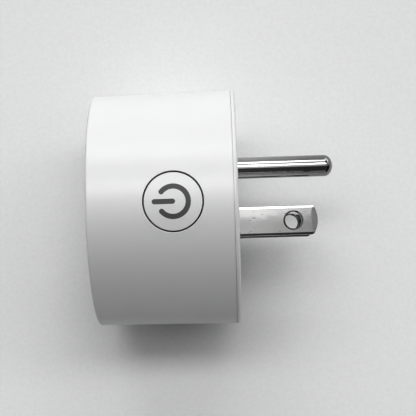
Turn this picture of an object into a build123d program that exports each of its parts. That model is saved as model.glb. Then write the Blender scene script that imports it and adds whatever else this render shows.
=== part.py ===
from build123d import *

import os
from math import cos, radians, sin

# Round mains smart plug for a three-prong wall outlet (NEMA 5-15), in millimetres.
#
# Frame: the origin is the centre of the back face, which lies against the wall outlet.
# +X runs out of that face along the prongs, +Y points to the earth pin, and +Z out through
# the power button on the barrel's side. An appliance plugs into the face at the -X end.

# ---------------------------------------------------------------- driving dimensions
# Barrel
body_depth = 30.0
back_radius = 24.99
front_radius = 24.52
wall = 1.8
rim_round = 0.5

# Prongs, to the outlet standard: blade centres 12.7 apart, earth pin 11.9 off their line
blade_y = -3.6
blade_z = 6.35
blade_width = 6.2
blade_thickness = 1.5
blade_length = 16.6
blade_face_half = 2.6
blade_crown = 0.05
blade_shoulder_half = 3.0
blade_shoulder_height = 0.5
blade_side_half = 0.4
blade_tip_bow = 0.9
blade_tip_round = 1.0
blade_taper_length = 1.8
blade_taper_depth = 0.32
blade_hole_x = 11.5
blade_hole_radius = 1.74
blade_hole_bevel = 0.36
pin_y = 8.3
pin_radius = 2.3
pin_neck = 2.6
pin_length = 20.7
pin_dome = 1.8
shoulder_x = -1.6

# Power button
button_x = -12.78
button_radius = 5.72
button_gap = 0.28
button_edge_round = 0.1
symbol_radius = 2.96
symbol_stroke = 1.01
symbol_gap = 80.0
bar_start, bar_end = -4.15, 0.4
bar_thickness = 1.0

# Back cover
seam_x = -0.95
seam_width = 0.09
seam_depth = 0.3
cover_round = 0.78
spigot_x = -2.6
spigot_radius = 22.4

# Outlet face
face_x = -29.5
face_radius = 20.0
face_gap = 0.15
front_wall_x = -28.2
face_flange_radius = 21.8
face_back_x = -27.0
slot_width = 2.4
neutral_slot_height = 8.4
line_slot_height = 7.0
earth_hole_radius = 2.8

# Screws and their posts
screw_circle = 19.4
screw_angles = (0.0, 134.0, -134.0)
post_radius = 2.2
post_front_x = -24.5
screw_core = 0.8

# Boards
board_back_x = -3.0
board_front_x = -4.6
board_radius = 21.3
hole_clearance = 0.1
radio_z = 15.4
radio_thickness = 1.0
radio_top = radio_z + radio_thickness

# Contacts
sheet = 0.5
clip_floor_x = -10.0
clip_mouth_x = -25.5
earth_floor_x = -6.2

# Relay, lying across the barrel beside the contacts, with its foot on the main board
relay_y = -14.6
relay_length = 18.4
relay_width = 10.0
relay_height = 15.3
relay_wall = 0.55
coil_z = -2.9
pivot_z = -7.9
pivot_height = 11.9
pivot_round = 0.5
contact_z = 6.0

os.makedirs("parts", exist_ok=True)


def outer_radius(x):
    """Radius of the slightly tapered barrel at a place along its axis."""
    return back_radius + (back_radius - front_radius) * x / body_depth


def block(x, y, z, mode=Mode.ADD):
    """A box between two limits along each axis."""
    middle = ((x[0] + x[1]) / 2, (y[0] + y[1]) / 2, (z[0] + z[1]) / 2)
    with Locations(middle):
        Box(abs(x[1] - x[0]), abs(y[1] - y[0]), abs(z[1] - z[0]), mode=mode)


def rod(x, radius, y, z, mode=Mode.ADD):
    """A round bar along the barrel's axis between two limits."""
    with Locations(Location(((x[0] + x[1]) / 2, y, z), (0, 90, 0))):
        Cylinder(radius, abs(x[1] - x[0]), mode=mode)


def post(z, radius, x, y=0.0, mode=Mode.ADD):
    """A round bar standing along +Z between two limits."""
    with Locations((x, y, (z[0] + z[1]) / 2)):
        Cylinder(radius, abs(z[1] - z[0]), mode=mode)


def around(middle, width):
    """Limits of a width about a middle."""
    return (middle - width / 2, middle + width / 2)


def grown(limits, by=hole_clearance):
    """The same limits, opened by a clearance at both ends."""
    return (min(limits) - by, max(limits) + by)


def save(piece, name):
    """Label a finished piece and write it as its own file."""
    piece.part.label = name
    export_step(piece.part, f"parts/{name}.step")


screw_places = [
    (screw_circle * cos(radians(angle)), screw_circle * sin(radians(angle)))
    for angle in screw_angles
]

# The space inside the barrel's outer surface, used to trim what lies flush with it
with BuildPart() as envelope:
    with BuildSketch(Plane.XY):
        with BuildLine():
            Polyline(
                (-body_depth, 0),
                (-body_depth, front_radius),
                (0, back_radius),
                (0, 0),
                close=True,
            )
        make_face()
    revolve(axis=Axis.X)

# ---------------------------------------------------------------- housing
# Barrel with its front rim, the button's hole and three screw posts on ribs
with BuildPart() as housing_shell:
    with BuildSketch(Plane.XY):
        with BuildLine():
            Polyline(
                (-body_depth, face_radius + face_gap),
                (-body_depth, front_radius),
                (seam_x, outer_radius(seam_x)),
                (seam_x, outer_radius(seam_x) - wall),
                (front_wall_x, outer_radius(front_wall_x) - wall),
                (front_wall_x, face_radius + face_gap),
                close=True,
            )
        make_face()
    revolve(axis=Axis.X)
    front_edges = housing_shell.edges().group_by(Axis.X)[0]
    fillet(front_edges, rim_round)
    with BuildSketch(Plane.YZ.offset(post_front_x)):
        for angle, place in zip(screw_angles, screw_places):
            with Locations(place):
                Circle(post_radius)
            with PolarLocations(21.6, 1, start_angle=angle):
                Rectangle(3.4, 1.6)
    extrude(amount=spigot_x - post_front_x)
    for y, z in screw_places:
        rod((-12.0, spigot_x), screw_core, y, z, mode=Mode.SUBTRACT)
    # The ribs stop short of the cover's spigot
    with BuildSketch(Plane.XY):
        with BuildLine():
            Polyline(
                (spigot_x - 0.1, screw_circle + post_radius),
                (spigot_x - 0.1, outer_radius(seam_x) - wall),
                (seam_x, outer_radius(seam_x) - wall),
                (seam_x, screw_circle + post_radius),
                close=True,
            )
        make_face()
    revolve(axis=Axis.X, mode=Mode.SUBTRACT)
    post((15.0, 26.0), button_radius + button_gap, button_x, mode=Mode.SUBTRACT)
    hole_edge = housing_shell.edges().filter_by(GeomType.BSPLINE).group_by(Axis.Z)[-1]
    fillet(hole_edge, button_edge_round)
save(housing_shell, "housing_shell")

# Disc that closes the wall side, with a fine reveal where it meets the barrel
with BuildPart() as back_cover:
    groove_radius = outer_radius(seam_x) - seam_depth
    lip_x = seam_x + seam_width
    with BuildSketch(Plane.XY):
        with BuildLine():
            Polyline(
                (spigot_x, 0),
                (spigot_x, spigot_radius),
                (seam_x, spigot_radius),
                (seam_x, groove_radius),
                (lip_x, groove_radius),
                (lip_x, outer_radius(lip_x)),
                (0, back_radius),
                (0, 0),
                close=True,
            )
        make_face()
    revolve(axis=Axis.X)
    back_edge = back_cover.edges().group_by(Axis.X)[-1]
    fillet(back_edge, cover_round)
    for z in (-blade_z, blade_z):
        block((spigot_x, 0), around(blade_y, blade_width), around(z, blade_thickness), Mode.SUBTRACT)
        block((spigot_x, shoulder_x), around(blade_y, 8.0), around(z, 2.6), Mode.SUBTRACT)
    rod((spigot_x, 0), pin_neck, pin_y, 0, Mode.SUBTRACT)
    rod((spigot_x, shoulder_x), 3.4, pin_y, 0, Mode.SUBTRACT)
    for y, z in screw_places:
        rod((spigot_x, 0), 1.15, y, z, Mode.SUBTRACT)
        rod((-1.5, 0), 2.1, y, z, Mode.SUBTRACT)
    # Pads that the main board rests against
    for y, z in ((0, 17.0), (0, -17.0), (13.0, 12.0), (13.0, -12.0)):
        rod((board_back_x, spigot_x), 1.2, y, z)
save(back_cover, "back_cover")

# Disc with the outlet's openings, held behind the rim by its own flange
with BuildPart() as outlet_face:
    rod((face_x, front_wall_x), face_radius, 0, 0)
    rod((front_wall_x, face_back_x), face_flange_radius, 0, 0)
    with BuildSketch(Plane.YZ.offset(face_x)) as openings:
        with Locations((blade_y, blade_z)):
            RectangleRounded(neutral_slot_height, slot_width, 0.3)
        with Locations((blade_y, -blade_z)):
            RectangleRounded(line_slot_height, slot_width, 0.3)
        with Locations((pin_y, 0)):
            Circle(earth_hole_radius)
        with Locations((pin_y - earth_hole_radius / 2, 0)):
            Rectangle(earth_hole_radius, 2 * earth_hole_radius)
    extrude(amount=face_back_x - face_x, mode=Mode.SUBTRACT)
    front_face = outlet_face.faces().sort_by(Axis.X)[0]
    mouth_edges = [edge for wire in front_face.inner_wires() for edge in wire.edges()]
    chamfer(mouth_edges, 0.4)
    fillet(front_face.outer_wire().edges(), 0.25)
save(outlet_face, "outlet_face")

# Three pan-head self-tapping screws with a cross recess
with BuildPart() as case_screws:
    for y, z in screw_places:
        rod((-1.5, -0.35), 1.9, y, z)
        rod((spigot_x, -1.5), 1.0, y, z)
        rod((-11.0, spigot_x), screw_core, y, z)
        block((-0.95, -0.35), around(y, 2.2), around(z, 0.5), Mode.SUBTRACT)
        block((-0.95, -0.35), around(y, 0.5), around(z, 2.2), Mode.SUBTRACT)
    head_rims = case_screws.edges().filter_by(GeomType.CIRCLE).group_by(Axis.X)[-1]
    fillet(head_rims, 0.3)
save(case_screws, "case_screws")

# ---------------------------------------------------------------- prongs
# Two blades: a slightly crowned section with bevelled edges, cut to the outline seen from
# above and to the taper seen from the side, with a shoulder inside the cover and a tab
# through the main board
for blade_name, z in (("neutral_blade", blade_z), ("line_blade", -blade_z)):
    half = blade_width / 2
    top = blade_thickness / 2
    bow_x = blade_length - blade_tip_bow
    taper_x = blade_length - blade_taper_length
    with BuildPart() as blade:
        across = Plane(origin=(shoulder_x, blade_y, z), x_dir=(0, 1, 0), z_dir=(1, 0, 0))
        with BuildSketch(across):
            with BuildLine():
                ThreePointArc(
                    (-blade_face_half, top - blade_crown), (0, top), (blade_face_half, top - blade_crown)
                )
                Polyline(
                    (blade_face_half, top - blade_crown),
                    (blade_shoulder_half, blade_shoulder_height),
                    (half, blade_side_half),
                    (half, -blade_side_half),
                    (blade_shoulder_half, -blade_shoulder_height),
                    (blade_face_half, blade_crown - top),
                )
                ThreePointArc(
                    (blade_face_half, blade_crown - top), (0, -top), (-blade_face_half, blade_crown - top)
                )
                Polyline(
                    (-blade_face_half, blade_crown - top),
                    (-blade_shoulder_half, -blade_shoulder_height),
                    (-half, -blade_side_half),
                    (-half, blade_side_half),
                    (-blade_shoulder_half, blade_shoulder_height),
                    (-blade_face_half, top - blade_crown),
                )
            section = make_face()
            fillet(section.vertices(), 0.15)
        extrude(amount=blade_length - shoulder_x)
        # Outline from above: a bowed tip with rounded corners
        with BuildSketch(Plane.XY.offset(z - blade_thickness)):
            with BuildLine():
                Polyline(
                    (bow_x, blade_y + half),
                    (shoulder_x, blade_y + half),
                    (shoulder_x, blade_y - half),
                    (bow_x, blade_y - half),
                )
                ThreePointArc(
                    (bow_x, blade_y - half), (blade_length, blade_y), (bow_x, blade_y + half)
                )
            plan = make_face()
            fillet(plan.vertices().group_by(Axis.X)[-1], blade_tip_round)
        extrude(amount=2 * blade_thickness, mode=Mode.INTERSECT)
        # Outline from the side: the last stretch curves in towards the tip
        with BuildSketch(Plane.XZ.offset(-blade_y - blade_width)) as profile:
            with BuildLine():
                Polyline(
                    (taper_x, z - top), (shoulder_x, z - top), (shoulder_x, z + top), (taper_x, z + top)
                )
                TangentArc(
                    (taper_x, z + top), (blade_length, z + top - blade_taper_depth), tangent=(1, 0)
                )
                Line(
                    (blade_length, z + top - blade_taper_depth),
                    (blade_length, z - top + blade_taper_depth),
                )
                TangentArc(
                    (taper_x, z - top), (blade_length, z - top + blade_taper_depth), tangent=(1, 0)
                )
            make_face()
        extrude(amount=2 * blade_width, mode=Mode.INTERSECT)
        with Locations((blade_hole_x, blade_y, z)):
            Cylinder(blade_hole_radius, 2 * blade_thickness, mode=Mode.SUBTRACT)
        for side in (-1, 1):
            with Locations(Location((blade_hole_x, blade_y, z + side * top), (90 + side * 90, 0, 0))):
                Cone(
                    blade_hole_radius + blade_hole_bevel,
                    blade_hole_radius,
                    blade_hole_bevel,
                    align=(Align.CENTER, Align.CENTER, Align.MIN),
                    mode=Mode.SUBTRACT,
                )
        block((spigot_x, shoulder_x), around(blade_y, 8.0), around(z, 2.6))
        block((-5.4, spigot_x), around(blade_y, 2.4), around(z, 1.0))
    save(blade, blade_name)

# Round earth pin with a domed tip, a collar inside the cover and a riveted inner end
with BuildPart() as ground_pin:
    with BuildSketch(Plane((0, pin_y, 0))):
        with BuildLine():
            Polyline(
                (pin_length, 0),
                (earth_floor_x - 1.2, 0),
                (earth_floor_x - 1.2, 1.9),
                (earth_floor_x - 0.7, 1.9),
                (earth_floor_x - 0.7, 1.2),
                (earth_floor_x, 1.2),
                (earth_floor_x, 2.0),
                (spigot_x, 2.0),
                (spigot_x, 3.4),
                (shoulder_x, 3.4),
                (shoulder_x, pin_neck),
                (0, pin_neck),
                (0, pin_radius),
                (pin_length - pin_dome, pin_radius),
            )
            EllipticalCenterArc(
                (pin_length - pin_dome, 0), pin_dome, pin_radius, start_angle=0, arc_size=90
            )
        make_face()
    revolve(axis=Axis((0, pin_y, 0), (1, 0, 0)))
save(ground_pin, "ground_pin")

# ---------------------------------------------------------------- power button
# Cap cut flush with the barrel, with a retaining flange, a hollow underside and a post
# that bears on the switch; the symbol's slot runs through its top
cap_foot_z = 20.3
flange_top_z = 21.1
guide_floor_z = 22.0
cap_ceiling_z = 22.7
plunger_top_z = 20.9
plunger_gap = 0.05


def power_mark():
    """The mark's outline: an arc open towards the outlet face, and a bar in its gap."""
    with BuildSketch(Plane.XY.offset(cap_ceiling_z)) as mark:
        with BuildLine(mode=Mode.PRIVATE):
            ring = CenterArc((button_x, 0), symbol_radius, symbol_gap / 2 - 180, 360 - symbol_gap)
        SlotArc(ring, symbol_stroke)
        with Locations((button_x + (bar_start + bar_end) / 2, 0)):
            SlotOverall(bar_end - bar_start, bar_thickness)
    return mark.sketch


with BuildPart() as button_cap:
    post((flange_top_z, 26.0), button_radius, button_x)
    add(envelope.part, mode=Mode.INTERSECT)
    fillet(button_cap.edges().group_by(Axis.Z)[-1], button_edge_round)
    post((cap_foot_z, flange_top_z), button_radius + 1.3, button_x)
    post((cap_foot_z, cap_ceiling_z), button_radius - 0.9, button_x, mode=Mode.SUBTRACT)
    post((plunger_top_z + plunger_gap, cap_ceiling_z + 0.1), 1.1, button_x)
    extrude(power_mark(), amount=3.0, mode=Mode.SUBTRACT)
save(button_cap, "button_cap")

# Light guide: a disc under the cap's top, with the mark standing up through it
with BuildPart() as power_symbol:
    extrude(power_mark(), amount=3.0)
    add(envelope.part, mode=Mode.INTERSECT)
    post((guide_floor_z, cap_ceiling_z), button_radius - 1.2, button_x)
    post((guide_floor_z, cap_ceiling_z), 1.2, button_x, mode=Mode.SUBTRACT)
save(power_symbol, "power_symbol")

# Tact switch under the cap
switch_top_z = radio_top + 3.5
with BuildPart() as switch_body:
    block(around(button_x, 6.0), (-3.0, 3.0), (radio_top, switch_top_z))
    fillet(switch_body.edges().filter_by(Axis.Z), 0.4)
    post((switch_top_z - 1.5, switch_top_z), 1.85, button_x, mode=Mode.SUBTRACT)
save(switch_body, "switch_body")

with BuildPart() as switch_plunger:
    post((switch_top_z - 1.0, plunger_top_z), 1.7, button_x)
    chamfer(switch_plunger.edges().group_by(Axis.Z)[-1], 0.2)
save(switch_plunger, "switch_plunger")

# ---------------------------------------------------------------- outlet contacts
# Moulded block between the outlet face and the main board, with a pocket for each contact
with BuildPart() as contact_carrier:
    block((face_back_x, board_front_x), (-8.9, 1.5), (-9.6, 9.6))
    block((face_back_x, board_front_x), (1.5, 13.0), (-4.6, 4.6))
    fillet(contact_carrier.edges().filter_by(Axis.X), 0.5)
    for z in (-blade_z, blade_z):
        block((face_back_x, clip_floor_x + sheet), (-8.0, 0.6), around(z, 5.0), Mode.SUBTRACT)
        block((-7.5, board_front_x), around(blade_y, 8.4), around(z, 5.0), Mode.SUBTRACT)
        block((clip_floor_x, -7.0), around(blade_y, 2.6), around(z, 4.4), Mode.SUBTRACT)
    block((face_back_x, board_front_x), (4.0, 12.4), (-3.3, 3.3), Mode.SUBTRACT)
save(contact_carrier, "contact_carrier")


def spring_tine(floor_x, root, pinch, mouth, y, z, width):
    """One bent leaf of a contact, as the outline of its sheet pushed across its width."""
    pinch_x = clip_mouth_x + 3.0
    for side in (-1, 1):
        with BuildSketch(Plane.XZ.offset(-(y - width / 2))) as leaf:
            with BuildLine():
                Polyline(
                    (floor_x, z + side * root),
                    (pinch_x + 1.5, z + side * pinch),
                    (pinch_x, z + side * pinch),
                    (clip_mouth_x, z + side * mouth),
                    (clip_mouth_x, z + side * (mouth + sheet)),
                    (pinch_x, z + side * (pinch + sheet)),
                    (pinch_x + 1.5, z + side * (pinch + sheet)),
                    (floor_x, z + side * (root + sheet)),
                    close=True,
                )
            make_face()
        extrude(leaf.sketch, amount=-width)


for contact_name, z in (("neutral_contact", blade_z), ("line_contact", -blade_z)):
    outer_z = z + 1.65 * (1 if z > 0 else -1)
    with BuildPart() as contact:
        block((clip_floor_x, clip_floor_x + sheet), around(blade_y, 7.0), around(z, 3.8))
        spring_tine(clip_floor_x, 1.4, 0.62, 1.5, blade_y, z, 7.0)
        block((clip_floor_x, board_back_x), around(blade_y, 2.2), around(outer_z, sheet))
    save(contact, contact_name)

with BuildPart() as ground_contact:
    block((earth_floor_x - 0.7, earth_floor_x), around(pin_y, 4.4), (-2.9, 2.9))
    rod((earth_floor_x - 0.7, earth_floor_x), 1.2, pin_y, 0, Mode.SUBTRACT)
    spring_tine(earth_floor_x - 0.7, 2.4, 2.0, 2.6, pin_y, 0, 4.4)
save(ground_contact, "ground_contact")

# ---------------------------------------------------------------- boards
header_ys = [-4.0, -2.0, 0.0, 2.0, 4.0]
header_z = 13.6
header_x = -7.3

# Relay legs, given by height over the board, as limits across and along the relay
relay_feet = {
    "fixed": ((-1.2, 1.2), (7.6, 8.1)),
    "yoke": ((-1.2, 1.2), (-8.4, -7.6)),
    "coil_a": ((-3.45, -2.95), (2.2, 2.7)),
    "coil_b": ((2.95, 3.45), (2.2, 2.7)),
}


def relay_block(height, across, along, mode=Mode.ADD):
    """A box in the relay, its height counted from the main board."""
    x = (board_front_x - height[1], board_front_x - height[0])
    block(x, (relay_y + across[0], relay_y + across[1]), along, mode)


def relay_rod(height, radius, along, mode=Mode.ADD):
    """A round bar in the relay, its height counted from the main board."""
    x = (board_front_x - height[1], board_front_x - height[0])
    rod(x, radius, relay_y, along, mode)


with BuildPart() as main_board:
    rod((board_front_x, board_back_x), board_radius, 0, 0)
    for y, z in screw_places:
        rod((board_front_x, board_back_x), post_radius + 0.4, y, z, Mode.SUBTRACT)
    for z, outward in ((-blade_z, -1), (blade_z, 1)):
        tab = (around(blade_y, 2.4 + hole_clearance), around(z, 1.0 + hole_clearance))
        block((board_front_x, board_back_x), *tab, Mode.SUBTRACT)
        leg = (around(blade_y, 2.4), around(z + outward * 1.65, sheet + 0.2))
        block((board_front_x, board_back_x), *leg, Mode.SUBTRACT)
    rod((board_front_x, board_back_x), 2.3, pin_y, 0, Mode.SUBTRACT)
    for across, along in relay_feet.values():
        relay_block((-2.0, 0), grown(across), grown(along), Mode.SUBTRACT)
    for y in header_ys:
        block(
            (board_front_x, board_back_x), around(y, 0.8), around(header_z, 0.8), Mode.SUBTRACT
        )
save(main_board, "main_board")

with BuildPart() as radio_board:
    block((-24.0, -6.0), (-10.8, 10.8), (radio_z, radio_top))
    fillet(radio_board.edges().filter_by(Axis.Z), 0.5)
    for y in header_ys:
        block(around(header_x, 0.8), around(y, 0.8), (radio_z, radio_top), Mode.SUBTRACT)
save(radio_board, "radio_board")

with BuildPart() as header_block:
    block((-6.6, board_front_x), (-5.0, 5.0), around(header_z, 2.4))
    for y in header_ys:
        block((-6.6, board_front_x), around(y, 0.6), around(header_z, 0.6), Mode.SUBTRACT)
save(header_block, "header_block")

with BuildPart() as header_pins:
    for y in header_ys:
        block((header_x - 0.3, board_back_x + 0.2), around(y, 0.6), around(header_z, 0.6))
        block(around(header_x, 0.6), around(y, 0.6), (header_z - 0.3, radio_top + 0.8))
save(header_pins, "header_pins")

with BuildPart() as radio_chip:
    block((-22.9, -18.5), (-2.2, 2.2), (radio_top, radio_top + 0.9))
    chamfer(radio_chip.edges().group_by(Axis.Z)[-1], 0.1)
save(radio_chip, "radio_chip")

with BuildPart() as radio_shield:
    block((-23.6, -17.8), (-8.5, 8.5), (radio_top, radio_top + 1.8))
    fillet(radio_shield.edges().filter_by(Axis.Z), 0.4)
    floor = radio_shield.faces().sort_by(Axis.Z)[0]
    offset(amount=-0.25, openings=floor)
save(radio_shield, "radio_shield")

with BuildPart() as status_led:
    block((-17.3, -15.8), (-1.5, 1.5), (radio_top, radio_top + 1.0))
    with BuildSketch(Plane.XY.offset(radio_top + 1.0)):
        with Locations((-16.55, 0)):
            Circle(0.5)
    extrude(amount=-0.3, mode=Mode.SUBTRACT)
save(status_led, "status_led")

# ---------------------------------------------------------------- relay
with BuildPart() as relay_case:
    relay_block((0, relay_height), around(0, relay_width), around(0, relay_length))
    fillet(relay_case.edges().filter_by(Axis.X), 0.6)
    board_side = relay_case.faces().sort_by(Axis.X)[-1]
    offset(amount=-relay_wall, openings=board_side)
save(relay_case, "relay_case")

inner_width = relay_width - 2 * relay_wall
inner_length = relay_length - 2 * relay_wall
with BuildPart() as relay_base:
    relay_block((0, 1.5), around(0, inner_width), around(0, inner_length))
    fillet(relay_base.edges().filter_by(Axis.X), 0.2)
    for across, along in relay_feet.values():
        relay_block((0, 1.5), across, along, Mode.SUBTRACT)
save(relay_base, "relay_base")

# Soft-iron frame: a foot under the coil, an arm up to a round pivot edge, a leg as terminal
with BuildPart() as relay_yoke:
    relay_block((1.5, 2.5), (-3.5, 3.5), (-8.4, -0.9))
    relay_block((1.5, pivot_height + pivot_round), (-3.5, 3.5), around(pivot_z, 2 * pivot_round))
    pivot_edges = relay_yoke.edges().filter_by(Axis.Y).group_by(Axis.X)[0]
    fillet(pivot_edges, pivot_round - 0.005)
    relay_block((-1.8, 1.5), *relay_feet["yoke"])
    relay_rod((1.5, 2.5), 1.4, coil_z, Mode.SUBTRACT)
save(relay_yoke, "relay_yoke")

with BuildPart() as relay_core:
    relay_rod((1.5, 11.4), 1.4, coil_z)
    relay_rod((11.3, 12.0), 2.6, coil_z)
save(relay_core, "relay_core")

with BuildPart() as relay_bobbin:
    relay_block((2.5, 3.2), (-4.1, 4.1), (-7.1, 1.3))
    relay_block((10.6, 11.3), (-4.1, 4.1), (-7.1, 1.3))
    relay_rod((3.2, 10.6), 2.0, coil_z)
    relay_rod((2.5, 11.3), 1.4, coil_z, Mode.SUBTRACT)
save(relay_bobbin, "relay_bobbin")

with BuildPart() as relay_coil:
    relay_rod((3.2, 10.6), 3.9, coil_z)
    fillet(relay_coil.edges().filter_by(GeomType.CIRCLE), 0.3)
    relay_rod((3.2, 10.6), 2.0, coil_z, Mode.SUBTRACT)
save(relay_coil, "relay_coil")

with BuildPart() as relay_coil_pins:
    for foot in ("coil_a", "coil_b"):
        relay_block((-1.8, 2.4), *relay_feet[foot])
save(relay_coil_pins, "relay_coil_pins")

with BuildPart() as relay_fixed_contact:
    relay_block((10.9, 11.4), (-1.8, 1.8), (4.6, 8.1))
    relay_block((-1.8, 10.9), *relay_feet["fixed"])
    relay_rod((11.4, 11.8), 1.1, contact_z)
save(relay_fixed_contact, "relay_fixed_contact")

# Armature, rocking on the yoke's edge over the core, and the spring leaf that it carries
with BuildPart() as relay_armature:
    relay_block((12.45, 13.25), (-3.2, 3.2), (-8.3, -0.2))
    fillet(relay_armature.edges().filter_by(Axis.X), 0.5)
save(relay_armature, "relay_armature")

with BuildPart() as relay_spring_contact:
    relay_block((13.25, 13.5), (-1.6, 1.6), (-6.0, 7.2))
    relay_rod((12.65, 13.25), 1.1, contact_z)
save(relay_spring_contact, "relay_spring_contact")

# ---------------------------------------------------------------- power supply
with BuildPart() as filter_capacitors:
    for y, z in ((7.6, -9.4), (-1.2, -14.5)):
        rod((board_front_x - 12.0, board_front_x), 4.0, y, z)
    fillet(filter_capacitors.edges().group_by(Axis.X)[0], 0.5)
save(filter_capacitors, "filter_capacitors")

with BuildPart() as varistor:
    with BuildSketch(Plane.XZ.offset(6.8)):
        with Locations((board_front_x - 4.4, -13.4)):
            Circle(3.4)
    extrude(amount=3.0)
    fillet(varistor.edges().filter_by(GeomType.CIRCLE), 0.8)
    for x_out, y in ((-13.9, -8.9), (-12.9, -7.7)):
        block((board_front_x - 1.6, board_front_x), around(y, 0.5), around(x_out, 0.5))
save(varistor, "varistor")

with BuildPart() as fuse_resistor:
    rod((board_front_x - 9.0, board_front_x), 1.7, -8.6, 11.9)
    fillet(fuse_resistor.edges().group_by(Axis.X)[0], 0.5)
save(fuse_resistor, "fuse_resistor")

inductor_y, inductor_z = 7.6, 9.4
with BuildPart() as inductor_core:
    rod((board_front_x - 9.0, board_front_x - 7.8), 4.0, inductor_y, inductor_z)
    rod((board_front_x - 7.8, board_front_x - 1.2), 1.8, inductor_y, inductor_z)
    rod((board_front_x - 1.2, board_front_x), 4.0, inductor_y, inductor_z)
save(inductor_core, "inductor_core")

with BuildPart() as inductor_winding:
    rod((board_front_x - 7.8, board_front_x - 1.2), 3.5, inductor_y, inductor_z)
    rod((board_front_x - 7.8, board_front_x - 1.2), 1.8, inductor_y, inductor_z, Mode.SUBTRACT)
save(inductor_winding, "inductor_winding")

with BuildPart() as bridge_rectifier:
    block((board_front_x - 2.5, board_front_x), (13.7, 17.6), (4.6, 9.4))
    chamfer(bridge_rectifier.edges().group_by(Axis.X)[0], 0.2)
save(bridge_rectifier, "bridge_rectifier")

with BuildPart() as converter_chip:
    block((board_front_x - 1.6, board_front_x), (13.7, 17.5), (-9.4, -4.6))
    chamfer(converter_chip.edges().group_by(Axis.X)[0], 0.2)
save(converter_chip, "converter_chip")
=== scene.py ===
"""A round white smart plug lying on its side in soft studio light, built around its CAD frame.

Every CAD piece keeps its shape and gets a procedural material; the floor, sky and camera are
the only additions. Object coordinates are the row frame in metres, so textures stay put.
"""

from math import pi, radians

import bpy
from mathutils import Matrix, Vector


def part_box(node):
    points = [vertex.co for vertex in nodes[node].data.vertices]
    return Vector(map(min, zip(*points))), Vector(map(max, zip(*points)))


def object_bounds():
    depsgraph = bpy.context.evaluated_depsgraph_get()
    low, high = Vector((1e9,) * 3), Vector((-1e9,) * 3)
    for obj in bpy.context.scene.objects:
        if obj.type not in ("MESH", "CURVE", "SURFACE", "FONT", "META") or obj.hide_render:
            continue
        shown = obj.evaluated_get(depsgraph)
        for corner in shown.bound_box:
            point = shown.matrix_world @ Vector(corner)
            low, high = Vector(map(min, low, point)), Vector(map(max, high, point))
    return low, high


MM = 0.001
FULL_TURN = 2 * pi

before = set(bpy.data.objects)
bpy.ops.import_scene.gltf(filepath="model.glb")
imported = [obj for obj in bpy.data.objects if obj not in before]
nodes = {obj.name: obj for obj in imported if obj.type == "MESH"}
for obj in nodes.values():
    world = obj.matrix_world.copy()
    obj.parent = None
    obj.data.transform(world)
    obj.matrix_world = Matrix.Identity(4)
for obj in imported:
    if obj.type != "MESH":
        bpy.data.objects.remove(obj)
cad_low, cad_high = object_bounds()

# ---------------------------------------------------------------- camera
# Almost straight down on the button, from a little towards the prongs and the blades' side
VIEW_TILT = radians(3.34)
VIEW_LEAN = radians(0.71)
VIEW_ROLL = radians(-1.80)
VIEW_DISTANCE = 240 * MM
VIEW_OFFSET = (-6.35 * MM, -0.29 * MM)
LENS_MM = 96.3
SENSOR_MM = 36.0
CLIP_START = 10 * MM
CLIP_END = 20000 * MM


def add_camera():
    """The camera over the button, and plain display colours."""
    data = bpy.data.cameras.new("camera")
    data.lens = LENS_MM
    data.sensor_width = SENSOR_MM
    data.clip_start = CLIP_START
    data.clip_end = CLIP_END
    camera = bpy.data.objects.new("camera", data)
    bpy.context.scene.collection.objects.link(camera)
    turn = (
        Matrix.Rotation(VIEW_TILT, 4, "X")
        @ Matrix.Rotation(VIEW_LEAN, 4, "Y")
        @ Matrix.Rotation(VIEW_ROLL, 4, "Z")
    )
    camera.matrix_world = turn @ Matrix.Translation((*VIEW_OFFSET, VIEW_DISTANCE))
    bpy.context.scene.camera = camera
    bpy.context.scene.view_settings.view_transform = "Standard"


add_camera()

# ---------------------------------------------------------------- material helpers
# The colour sockets of a Mix node, which has one set for each kind of value
MIX_FIRST, MIX_SECOND, MIX_RESULT = 6, 7, 2


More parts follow.
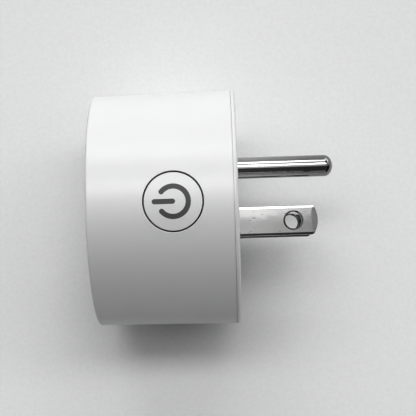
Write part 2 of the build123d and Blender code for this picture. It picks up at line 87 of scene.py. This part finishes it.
class Finish:
    """A Principled material and the few kinds of node that its texture is built from."""

    def __init__(self, name, color, roughness, metallic=0.0, **sockets):
        self.material = bpy.data.materials.new(name)
        self.material.use_nodes = True
        self.tree = self.material.node_tree
        self.shader = self.tree.nodes["Principled BSDF"]
        self.place = self.node("ShaderNodeTexCoord").outputs["Object"]
        self.normal = None
        self.shader.inputs["Base Color"].default_value = (*color, 1)
        self.shader.inputs["Roughness"].default_value = roughness
        self.shader.inputs["Metallic"].default_value = metallic
        for socket, value in sockets.items():
            self.shader.inputs[socket.replace("_", " ")].default_value = value

    def node(self, kind, **inputs):
        """A new node; sockets named in inputs are linked, and numbers are set."""
        made = self.tree.nodes.new(kind)
        for socket, value in inputs.items():
            if isinstance(value, bpy.types.NodeSocket):
                self.tree.links.new(value, made.inputs[socket])
            else:
                made.inputs[socket].default_value = value
        return made

    def stretched(self, stretch):
        """Object coordinates scaled per axis; a small number draws features out along it."""
        return self.node("ShaderNodeMapping", Vector=self.place, Scale=stretch).outputs[0]

    def noise(self, size, detail=2.0, stretch=(1, 1, 1)):
        """Smooth noise from 0 to 1 whose features are about that many millimetres."""
        vector = self.stretched(stretch)
        texture = self.node("ShaderNodeTexNoise", Vector=vector, Scale=1 / (size * MM), Detail=detail)
        return texture.outputs[0]

    def cells(self, size, output="Distance", stretch=(1, 1, 1)):
        """Voronoi cells about that many millimetres across."""
        vector = self.stretched(stretch)
        return self.node("ShaderNodeTexVoronoi", Vector=vector, Scale=1 / (size * MM)).outputs[output]

    def along(self, axis):
        """One coordinate of the place on the piece, in metres."""
        return self.node("ShaderNodeSeparateXYZ", Vector=self.place).outputs[axis]

    def facing(self, axis):
        """How far the surface faces along an axis, from -1 to 1."""
        geometry = self.node("ShaderNodeNewGeometry").outputs["Normal"]
        return self.node("ShaderNodeSeparateXYZ", Vector=geometry).outputs[axis]

    def math(self, operation, first, second=0.0, third=0.0):
        """Arithmetic on sockets or numbers."""
        made = self.tree.nodes.new("ShaderNodeMath")
        made.operation = operation
        for socket, value in zip(made.inputs, (first, second, third)):
            if isinstance(value, bpy.types.NodeSocket):
                self.tree.links.new(value, socket)
            else:
                socket.default_value = value
        return made.outputs[0]

    def spread(self, source, low, high, to_low=0.0, to_high=1.0):
        """Maps low..high onto to_low..to_high, smoothly and clamped."""
        made = self.node("ShaderNodeMapRange", Value=source)
        made.interpolation_type = "SMOOTHSTEP"
        for socket, value in zip(made.inputs[1:5], (low, high, to_low, to_high)):
            socket.default_value = value
        return made.outputs[0]

    def blend(self, factor, first, second):
        """Mixes two colours, each a triple or a socket."""
        made = self.tree.nodes.new("ShaderNodeMix")
        made.data_type = "RGBA"
        self.tree.links.new(factor, made.inputs["Factor"])
        for socket, value in ((made.inputs[MIX_FIRST], first), (made.inputs[MIX_SECOND], second)):
            if isinstance(value, bpy.types.NodeSocket):
                self.tree.links.new(value, socket)
            else:
                socket.default_value = (*value, 1)
        return made.outputs[MIX_RESULT]

    def paint(self, color):
        """The base colour, from a colour socket."""
        self.tree.links.new(color, self.shader.inputs["Base Color"])

    def rough(self, source, low, high):
        """Roughness from low to high as source goes from 0 to 1."""
        self.tree.links.new(self.spread(source, 0, 1, low, high), self.shader.inputs["Roughness"])

    def metal(self, factor):
        """Metal where factor is 1, and plastic or resin where it is 0."""
        self.tree.links.new(factor, self.shader.inputs["Metallic"])

    def relief(self, height, depth):
        """Bump that many millimetres deep, on top of any earlier one."""
        bump = self.node("ShaderNodeBump", Height=height, Distance=depth * MM, Strength=1.0)
        if self.normal:
            self.tree.links.new(self.normal, bump.inputs["Normal"])
        self.normal = bump.outputs["Normal"]
        self.tree.links.new(self.normal, self.shader.inputs["Normal"])


def shade(color, amount):
    """A colour made lighter or darker by a fraction."""
    return tuple(min(1.0, channel * (1 + amount)) for channel in color)


# ---------------------------------------------------------------- materials
def moulded(name, color, roughness, grain=0.12, depth=0.004, cloud=0.02, **sockets):
    """Moulded plastic: spark-eroded grain, faint flow clouds and patches of polish."""
    look = Finish(name, color, roughness, **sockets)
    clouds = look.noise(7.0, 3.0)
    look.paint(look.blend(clouds, shade(color, -cloud), shade(color, cloud)))
    look.rough(look.noise(3.5, 2.0), roughness - 0.05, roughness + 0.05)
    look.relief(look.noise(grain, 3.0), depth)
    return look


def white_plastic():
    """Satin white: the grain under a slow waviness from moulding."""
    look = moulded("white_plastic", (0.658, 0.66, 0.66), 0.33, grain=0.14, depth=0.0035, cloud=0.01)
    look.relief(look.noise(9.0, 1.0), 0.03)
    return look


def symbol_grey():
    """Printed-looking dark grey resin, a touch uneven."""
    return moulded("symbol_grey", (0.09, 0.09, 0.093), 0.5, grain=0.08, depth=0.003, cloud=0.12)


def nickel_plate():
    """Nickel over stamped brass: lengthwise polishing lines, a gentle stamping wave, pits and
    handling marks, and painted shade that darkens the metal towards the tips, standing in for
    dimmer reflections there."""
    color = (0.48, 0.48, 0.478)
    look = Finish("nickel_plate", color, 0.08, 1.0)
    lines = look.noise(0.07, 3.0, stretch=(0.03, 1, 1))
    marks = look.spread(look.noise(0.4, 2.0, stretch=(0.6, 1, 1)), 0.67, 0.73)
    wave = look.noise(2.4, 3.0)
    # Painted shade: the metal colour darkens along X towards the tips, in place of dimmer reflections
    # there
    reach = look.math("MULTIPLY_ADD", look.math("SUBTRACT", wave, 0.5), 8 * MM, look.along("X"))
    tip_shade = look.spread(reach, 2 * MM, 19 * MM)
    wave_tone = look.blend(wave, shade(color, -0.08), shade(color, 0.06))
    tip_shaded = look.blend(tip_shade, wave_tone, shade(color, -0.35))
    look.paint(look.blend(marks, tip_shaded, shade(color, -0.55)))
    look.rough(look.math("MULTIPLY_ADD", marks, 0.8, wave), 0.05, 0.14)
    look.relief(lines, 0.0012)
    look.relief(marks, -0.004)
    look.relief(look.noise(2.2, 1.0), 0.02)
    return look


def screw_steel():
    """Zinc-plated steel with fine turning rings across the axis."""
    color = (0.55, 0.55, 0.56)
    look = Finish("screw_steel", color, 0.3, 1.0)
    look.paint(look.blend(look.noise(0.8, 3.0), shade(color, -0.12), shade(color, 0.1)))
    look.rough(look.noise(0.5, 2.0), 0.22, 0.38)
    look.relief(look.noise(0.05, 1.0, stretch=(1, 0.1, 0.1)), 0.002)
    return look


def contact_brass():
    """Rolled spring brass with grain lines and a trace of tarnish."""
    color = (0.80, 0.60, 0.28)
    look = Finish("contact_brass", color, 0.28, 1.0)
    tarnish = look.spread(look.noise(2.0, 4.0), 0.45, 0.75)
    look.paint(look.blend(tarnish, color, (0.55, 0.36, 0.15)))
    look.rough(tarnish, 0.22, 0.40)
    look.relief(look.noise(0.06, 2.0, stretch=(0.04, 1, 1)), 0.0015)
    return look


def circuit_board(name, normal_axis, run_axis, cross_axis):
    """Green solder mask over traces that run both ways across the board, tinned pads, and
    pale glass-fibre edges."""
    mask, trace = (0.012, 0.13, 0.055), (0.03, 0.24, 0.10)
    tin, fibre = (0.62, 0.62, 0.60), (0.42, 0.38, 0.22)
    trace_pitch = 1.3 * MM
    look = Finish(name, mask, 0.3, Coat_Weight=0.4, Coat_Roughness=0.12)

    def lines(axis):
        wave = look.math("SINE", look.math("MULTIPLY", look.along(axis), FULL_TURN / trace_pitch))
        return look.spread(wave, 0.45, 0.6)

    region = look.cells(5.0, stretch=(0.4, 1, 1))
    first = look.math("MULTIPLY", lines(run_axis), look.spread(region, 0.45, 0.5))
    second = look.math("MULTIPLY", lines(cross_axis), look.spread(region, 0.4, 0.35))
    traces = look.math("MAXIMUM", first, second)
    pads = look.spread(look.cells(3.1), 0.14, 0.12)
    edge = look.spread(look.math("ABSOLUTE", look.facing(normal_axis)), 0.6, 0.4)
    face = look.blend(pads, look.blend(traces, mask, trace), tin)
    look.paint(look.blend(edge, face, look.blend(look.noise(0.3, 2.0), fibre, shade(fibre, -0.3))))
    look.rough(edge, 0.28, 0.75)
    look.metal(look.math("MULTIPLY", pads, look.math("SUBTRACT", 1.0, edge)))
    look.relief(look.math("MAXIMUM", traces, pads), 0.03)
    look.relief(look.noise(0.25, 2.0), 0.004)
    return look


def tinned_steel():
    """Drawn tinplate: pale spangle and fine rolling lines."""
    color = (0.70, 0.70, 0.69)
    look = Finish("tinned_steel", color, 0.3, 1.0)
    spangle = look.cells(1.1, "Color")
    look.paint(look.blend(spangle, shade(color, -0.10), shade(color, 0.08)))
    look.rough(spangle, 0.22, 0.36)
    look.relief(look.noise(0.05, 2.0, stretch=(1, 0.05, 1)), 0.0015)
    return look


def winding(name, pitch):
    """Enamelled copper wire in close turns along X, one every pitch millimetres, with painted shade
    in the grooves between the turns.
    """
    color, groove_shade = (0.62, 0.23, 0.08), (0.12, 0.035, 0.012)
    look = Finish(name, color, 0.25, 1.0, Coat_Weight=0.6, Coat_Roughness=0.1)
    wobble = look.math("MULTIPLY", look.noise(3.0, 1.0), 2.5)
    phase = look.math("MULTIPLY_ADD", look.along("X"), FULL_TURN / (pitch * MM), wobble)
    turns = look.math("MULTIPLY_ADD", look.math("SINE", phase), 0.5, 0.5)
    wire = look.blend(look.noise(1.5), color, shade(color, 0.2))
    # Painted shade: the troughs between the turns take the dark second colour
    look.paint(look.blend(look.spread(turns, 0.0, 0.35), groove_shade, wire))
    look.rough(look.noise(0.6), 0.2, 0.35)
    look.relief(turns, pitch * 0.4)
    return look


def soft_iron():
    """Pressed and nickel-flashed iron, slightly uneven."""
    color = (0.40, 0.40, 0.41)
    look = Finish("soft_iron", color, 0.38, 1.0)
    look.paint(look.blend(look.noise(1.2, 4.0), shade(color, -0.2), shade(color, 0.1)))
    look.rough(look.noise(0.4, 2.0), 0.3, 0.5)
    look.relief(look.noise(0.1, 3.0), 0.004)
    return look


def ferrite():
    """Sintered ferrite: dull charcoal with tiny pores, each darkened with painted shade."""
    color = (0.05, 0.05, 0.053)
    look = Finish("ferrite", color, 0.62)
    pores_and_pore_shade = look.spread(look.noise(0.12, 2.0), 0.62, 0.70)
    body = look.blend(look.noise(1.0), shade(color, -0.2), shade(color, 0.3))
    # Painted shade: the pores are darkened as if in shadow, on top of their real dents
    look.paint(look.blend(pores_and_pore_shade, body, shade(color, -0.6)))
    look.rough(look.noise(0.8), 0.5, 0.75)
    look.relief(pores_and_pore_shade, -0.01)
    return look


def capacitor_sleeve():
    """Shrunk plastic sleeve with a pale stripe on one side, and a bare aluminium top."""
    sleeve, stripe, can = (0.012, 0.02, 0.07), (0.55, 0.57, 0.60), (0.72, 0.72, 0.73)
    dash_pitch = 3.0 * MM
    look = Finish("capacitor_sleeve", sleeve, 0.22, Coat_Weight=0.5, Coat_Roughness=0.08)
    top = look.spread(look.math("MULTIPLY", look.facing("X"), -1.0), 0.90, 0.97)
    side = look.spread(look.facing("Z"), 0.93, 0.95)
    wave = look.math("SINE", look.math("MULTIPLY", look.along("X"), FULL_TURN / dash_pitch))
    dashes = look.spread(wave, -0.5, -0.4)
    body = look.blend(look.math("MULTIPLY", side, dashes), sleeve, stripe)
    look.paint(look.blend(top, body, look.blend(look.noise(0.2), can, shade(can, -0.15))))
    look.metal(top)
    look.rough(look.noise(1.5, 2.0), 0.16, 0.30)
    look.relief(look.noise(1.8, 1.0), 0.03)
    return look


def varistor_blue():
    """Dipped epoxy: glossy blue with an uneven flow."""
    color = (0.02, 0.09, 0.36)
    look = Finish("varistor_blue", color, 0.18, Coat_Weight=0.7, Coat_Roughness=0.06)
    look.paint(look.blend(look.noise(1.6, 2.0), shade(color, -0.2), shade(color, 0.25)))
    look.rough(look.noise(0.7), 0.14, 0.28)
    look.relief(look.noise(0.9, 1.0), 0.05)
    return look


def resistor_green():
    """Cement-coated resistor with its ring of value bands."""
    body = (0.13, 0.28, 0.16)
    # Place along the body, as a share of its length, and colour
    bands = ((0.3, (0.30, 0.11, 0.04)), (0.48, (0.02, 0.02, 0.02)), (0.66, (0.55, 0.40, 0.08)))
    look = Finish("resistor_green", body, 0.6)
    low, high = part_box("fuse_resistor")
    color = look.blend(look.noise(0.8, 3.0), shade(body, -0.15), shade(body, 0.15))
    for share, band in bands:
        middle = low.x + (high.x - low.x) * share
        distance = look.math("ABSOLUTE", look.math("SUBTRACT", look.along("X"), middle))
        color = look.blend(look.spread(distance, 0.45 * MM, 0.38 * MM), color, band)
    look.paint(color)
    look.rough(look.noise(0.5), 0.5, 0.7)
    look.relief(look.noise(0.2, 3.0), 0.02)
    return look


def carrier_plastic():
    """The contact block's natural nylon, a little yellow."""
    return moulded("carrier_plastic", (0.74, 0.73, 0.68), 0.45, grain=0.16, depth=0.006, cloud=0.03)


def black_resin():
    """The matt moulding compound of chips and connectors."""
    return moulded("black_resin", (0.022, 0.022, 0.024), 0.52, grain=0.10, depth=0.006, cloud=0.15)


def relay_black():
    """The relay's smoother black plastic."""
    return moulded("relay_black", (0.018, 0.018, 0.020), 0.32, grain=0.12, depth=0.003, cloud=0.15)


def led_body():
    """The lamp's pale glossy body."""
    color = (0.86, 0.84, 0.74)
    return moulded("led_body", color, 0.22, grain=0.20, depth=0.002, cloud=0.03, Coat_Weight=0.4)


# ---------------------------------------------------------------- which piece gets which look
# By the piece's own material slot
looks = {
    "white_plastic": white_plastic(),
    "symbol_grey": symbol_grey(),
    "nickel_plate": nickel_plate(),
    "screw_steel": screw_steel(),
    "contact_brass": contact_brass(),
    "tinned_steel": tinned_steel(),
    "soft_iron": soft_iron(),
    "ferrite": ferrite(),
    "capacitor_sleeve": capacitor_sleeve(),
    "varistor_blue": varistor_blue(),
    "resistor_green": resistor_green(),
    "carrier_plastic": carrier_plastic(),
    "black_resin": black_resin(),
    "relay_black": relay_black(),
    "led_body": led_body(),
}
# By name, for pieces whose texture depends on which way they lie or how they are wound
node_looks = {
    "main_board": circuit_board("circuit_board", "X", "Y", "Z"),
    "radio_board": circuit_board("radio_circuit_board", "Z", "X", "Y"),
    "relay_coil": winding("relay_winding", 0.22),
    "inductor_winding": winding("inductor_winding", 0.5),
}

for node_name, piece in nodes.items():
    slot_name = piece.data.materials[0].name
    look = node_looks.get(node_name) or looks[slot_name]
    piece.data.materials[0] = look.material

# ---------------------------------------------------------------- floor and light
FLOOR_COLOR = (0.736, 0.742, 0.738)
FLOOR_MOTTLE = 0.05
FLOOR_REACH = 3000 * MM
BACKDROP_COLOR = (0.66, 0.665, 0.66)

# Deepens the middle and dark tones, as the harder contrast of a product picture does
CONTRAST_GAMMA = 0.72

# Soft boxes far away: degrees from overhead towards +Y, degrees towards +X, and radiance
SOFT_BOXES = (
    ((15, 25), (-18, 18), 9.9),
    ((16, 28), (-45, -18), 2.4),
    ((16, 28), (18, 45), 4.6),
    ((4, 15), (-45, 18), 1.7),
    ((-8, 4), (-18, 18), 1.0),
    ((-8, 16), (18, 45), 0.8),
    ((25, 37), (-18, 18), 0.5),
    ((37, 48), (-18, 18), 1.8),
    ((48, 60), (-18, 18), 5.0),
    ((60, 90), (-12, 12), 0.7),
    ((60, 90), (-60, -12), 2.1),
    ((60, 90), (12, 60), 2.1),
    ((40, 70), (45, 90), 1.4),
    ((-10, 38), (46, 80), 0.45),
    ((-60, -8), (-12, 45), 0.09),
    ((-90, -60), (-12, 20), 0.5),
)

# Half the width of a box's soft edge, in degrees, and the radiance of the studio between boxes
BOX_EDGE = 1.5
SKY_AMBIENT = 0.04


def add_floor():
    """The wide pale card the plug lies on, with the faint tooth of uncoated paper."""
    look = Finish("floor_card", FLOOR_COLOR, 0.75)
    grain = look.noise(0.8, 3.0)
    look.paint(look.blend(grain, shade(FLOOR_COLOR, -FLOOR_MOTTLE), shade(FLOOR_COLOR, FLOOR_MOTTLE)))
    look.rough(look.noise(2.0), 0.70, 0.80)
    look.relief(look.noise(0.25, 3.0), 0.008)
    mesh = bpy.data.meshes.new("floor")
    signs = ((-1, -1), (1, -1), (1, 1), (-1, 1))
    corners = [(x * FLOOR_REACH, y * FLOOR_REACH, cad_low.z) for x, y in signs]
    mesh.from_pydata(corners, [], [(0, 1, 2, 3)])
    mesh.materials.append(look.material)
    floor = bpy.data.objects.new("floor", mesh)
    bpy.context.scene.collection.objects.link(floor)


def add_sky():
    """A dark studio with soft boxes; the camera itself sees a plain pale backdrop."""
    world = bpy.data.worlds.new("studio")
    bpy.context.scene.world = world
    world.use_nodes = True
    tree = world.node_tree
    background = tree.nodes["Background"]
    background.inputs["Color"].default_value = (1, 1, 1, 1)

    def math(operation, *values):
        """Arithmetic on sockets or numbers."""
        made = tree.nodes.new("ShaderNodeMath")
        made.operation = operation
        for socket, value in zip(made.inputs, values):
            if isinstance(value, bpy.types.NodeSocket):
                tree.links.new(value, socket)
            else:
                socket.default_value = value
        return made.outputs[0]

    def inside(angle, low, high):
        """1 between two angles in degrees, 0 outside them, with soft edges."""
        edge = radians(BOX_EDGE)
        rise = (radians(low) - edge, radians(low) + edge)
        fall = (radians(high) + edge, radians(high) - edge)
        masks = []
        for start, end in (rise, fall):
            step = tree.nodes.new("ShaderNodeMapRange")
            step.interpolation_type = "SMOOTHSTEP"
            tree.links.new(angle, step.inputs["Value"])
            step.inputs["From Min"].default_value = start
            step.inputs["From Max"].default_value = end
            masks.append(step.outputs[0])
        return math("MULTIPLY", *masks)

    place = tree.nodes.new("ShaderNodeTexCoord")
    direction = tree.nodes.new("ShaderNodeSeparateXYZ")
    tree.links.new(place.outputs["Generated"], direction.inputs[0])
    toward_y = math("ARCTAN2", direction.outputs["Y"], direction.outputs["Z"])
    toward_x = math("ARCSINE", direction.outputs["X"])
    total = SKY_AMBIENT
    for y_limits, x_limits, radiance in SOFT_BOXES:
        mask = math("MULTIPLY", inside(toward_y, *y_limits), inside(toward_x, *x_limits))
        total = math("MULTIPLY_ADD", mask, radiance, total)
    tree.links.new(total, background.inputs["Strength"])

    backdrop = tree.nodes.new("ShaderNodeBackground")
    backdrop.inputs["Color"].default_value = (*BACKDROP_COLOR, 1)
    path = tree.nodes.new("ShaderNodeLightPath")
    choice = tree.nodes.new("ShaderNodeMixShader")
    tree.links.new(path.outputs["Is Camera Ray"], choice.inputs[0])
    tree.links.new(background.outputs[0], choice.inputs[1])
    tree.links.new(backdrop.outputs[0], choice.inputs[2])
    tree.links.new(choice.outputs[0], tree.nodes["World Output"].inputs["Surface"])


add_floor()
add_sky()
bpy.context.scene.view_settings.gamma = CONTRAST_GAMMA
